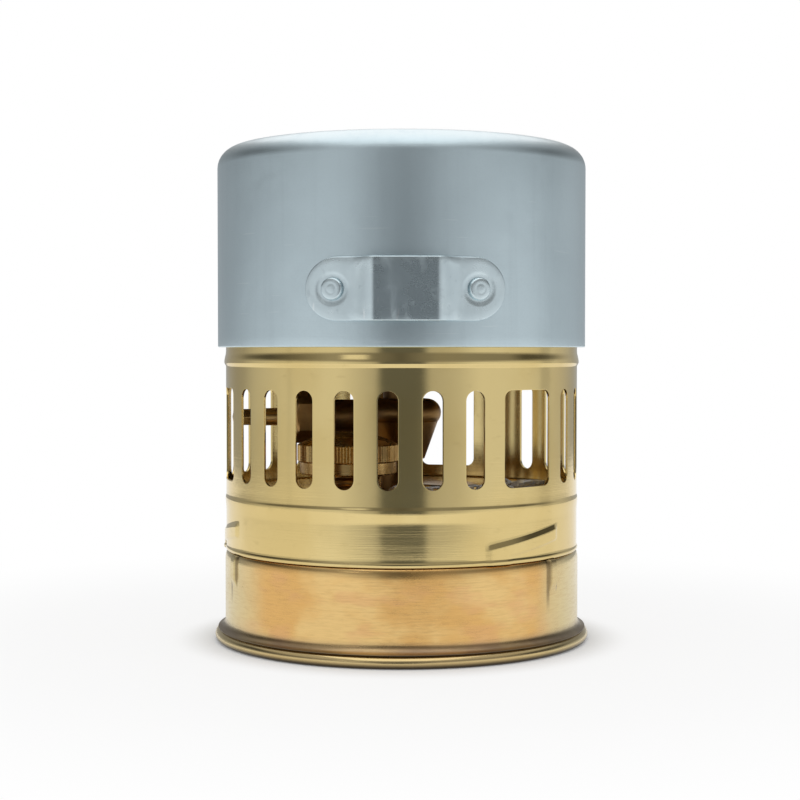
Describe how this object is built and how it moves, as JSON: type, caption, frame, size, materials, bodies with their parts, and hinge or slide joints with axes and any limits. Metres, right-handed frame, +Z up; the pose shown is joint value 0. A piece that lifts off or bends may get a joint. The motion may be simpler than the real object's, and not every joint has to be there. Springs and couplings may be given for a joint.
{
  "type": "liquid-fuel camping stove",
  "caption": "Round brass liquid-fuel camping stove with a slotted windscreen on a fuel tank, swing-in pot supports and an upside-down aluminium cup with a riveted handle bracket as its lid.",
  "frame": {"origin": "centre of the foot ring on the ground", "axes": "+Z up along the stove's axis, -Y toward the front, where the cup's handle bracket is"},
  "size_m": [0.0996, 0.1014, 0.13],
  "materials": {
    "warm_brass": "worn polish with a warm tarnish",
    "pale_brass": "polished",
    "brass": "machined",
    "dark_brass": "heat-darkened",
    "steel": "plain",
    "aluminium": "satin",
    "rubber": "matt",
    "cotton": "soft",
    "soft_metal": "dull",
    "graphite": "dull"
  },
  "bodies": {
    "tank": {"tank_shell": "warm_brass", "tank_bottom": "warm_brass", "filler_neck": "dark_brass", "cotton_wick": "cotton", "stem_washer": "soft_metal", "vaporizer": "dark_brass", "jet_nipple": "brass", "burner_bell": "dark_brass", "flame_spreader": "dark_brass", "graphite_packing": "graphite", "packing_washer": "brass", "gland_nut": "dark_brass", "valve_key": "steel", "key_ring": "steel", "key_chain": "steel", "chain_ring": "steel"},
    "filler_gasket": {"filler_gasket": "rubber"},
    "filler_cap": {"filler_cap": "brass", "valve_retainer": "brass", "valve_spring": "steel"},
    "relief_valve": {"relief_plunger": "brass", "relief_pad": "rubber"},
    "spindle": {"spindle": "steel"},
    "needle": {"cleaning_needle": "steel"},
    "rim_wire": {"rim_wire": "steel"},
    "windscreen": {"windscreen": "pale_brass", "pivot_pin_1": "steel", "pivot_pin_2": "steel", "pivot_pin_3": "steel"},
    "pot_support_1": {"pot_support_1": "steel"},
    "pot_support_2": {"pot_support_2": "steel"},
    "pot_support_3": {"pot_support_3": "steel"},
    "cup": {"cup": "aluminium", "handle_bracket": "aluminium", "bracket_rivet_1": "aluminium", "bracket_rivet_2": "aluminium"}
  },
  "joints": [
    {"name": "windscreen_rise", "type": "slide", "parent": "tank", "child": "rim_wire", "axis": [0, 0, 1], "range_m": [0, 0.00289]},
    {"name": "windscreen_twist", "type": "hinge", "parent": "rim_wire", "child": "windscreen", "pos_m": [0, 0, 0.11045], "axis": [0, 0, 1], "range_deg": [0, 23]},
    {"name": "pot_support_1_swing", "type": "hinge", "parent": "windscreen", "child": "pot_support_1", "pos_m": [0.01022, -0.03815, 0.1163], "axis": [0, 0, 1], "range_deg": [0, 72]},
    {"name": "pot_support_2_swing", "type": "hinge", "parent": "windscreen", "child": "pot_support_2", "pos_m": [0.02793, 0.02793, 0.1163], "axis": [0, 0, 1], "range_deg": [0, 72]},
    {"name": "pot_support_3_swing", "type": "hinge", "parent": "windscreen", "child": "pot_support_3", "pos_m": [-0.03815, 0.01022, 0.1163], "axis": [0, 0, 1], "range_deg": [0, 72]},
    {"name": "cup_lift", "type": "slide", "parent": "windscreen", "child": "cup", "axis": [0, 0, 1], "range_m": [0, 0.06]},
    {"name": "filler_cap_rise", "type": "slide", "parent": "tank", "child": "filler_gasket", "axis": [0, 0, 1], "range_m": [0, 0.0045]},
    {"name": "filler_cap_turn", "type": "hinge", "parent": "filler_gasket", "child": "filler_cap", "pos_m": [-0.01348, -0.02601, 0.05], "axis": [0, 0, 1], "range_deg": [0, 1080]},
    {"name": "relief_lift", "type": "slide", "parent": "filler_cap", "child": "relief_valve", "axis": [0, 0, 1], "range_m": [0, 0.0012], "stiffness_N_per_m": 150, "springref_m": -0.003, "deforming": ["valve_spring"]},
    {"name": "spindle_turn", "type": "hinge", "parent": "tank", "child": "spindle", "pos_m": [-0.00068, 0.00241, 0.0591], "axis": [-0.9623, -0.2719, 0], "range_deg": [0, 135]},
    {"name": "needle_rise", "type": "slide", "parent": "tank", "child": "needle", "axis": [0, 0, 1], "range_m": [0, 0.00424]}
  ],
  "couplings": [
    {"joint": "windscreen_twist", "follows": "windscreen_rise", "rad_per_m": 138.78},
    {"joint": "filler_cap_turn", "follows": "filler_cap_rise", "rad_per_m": 4188.8},
    {"joint": "spindle_turn", "follows": "needle_rise", "rad_per_m": 555.55}
  ]
}
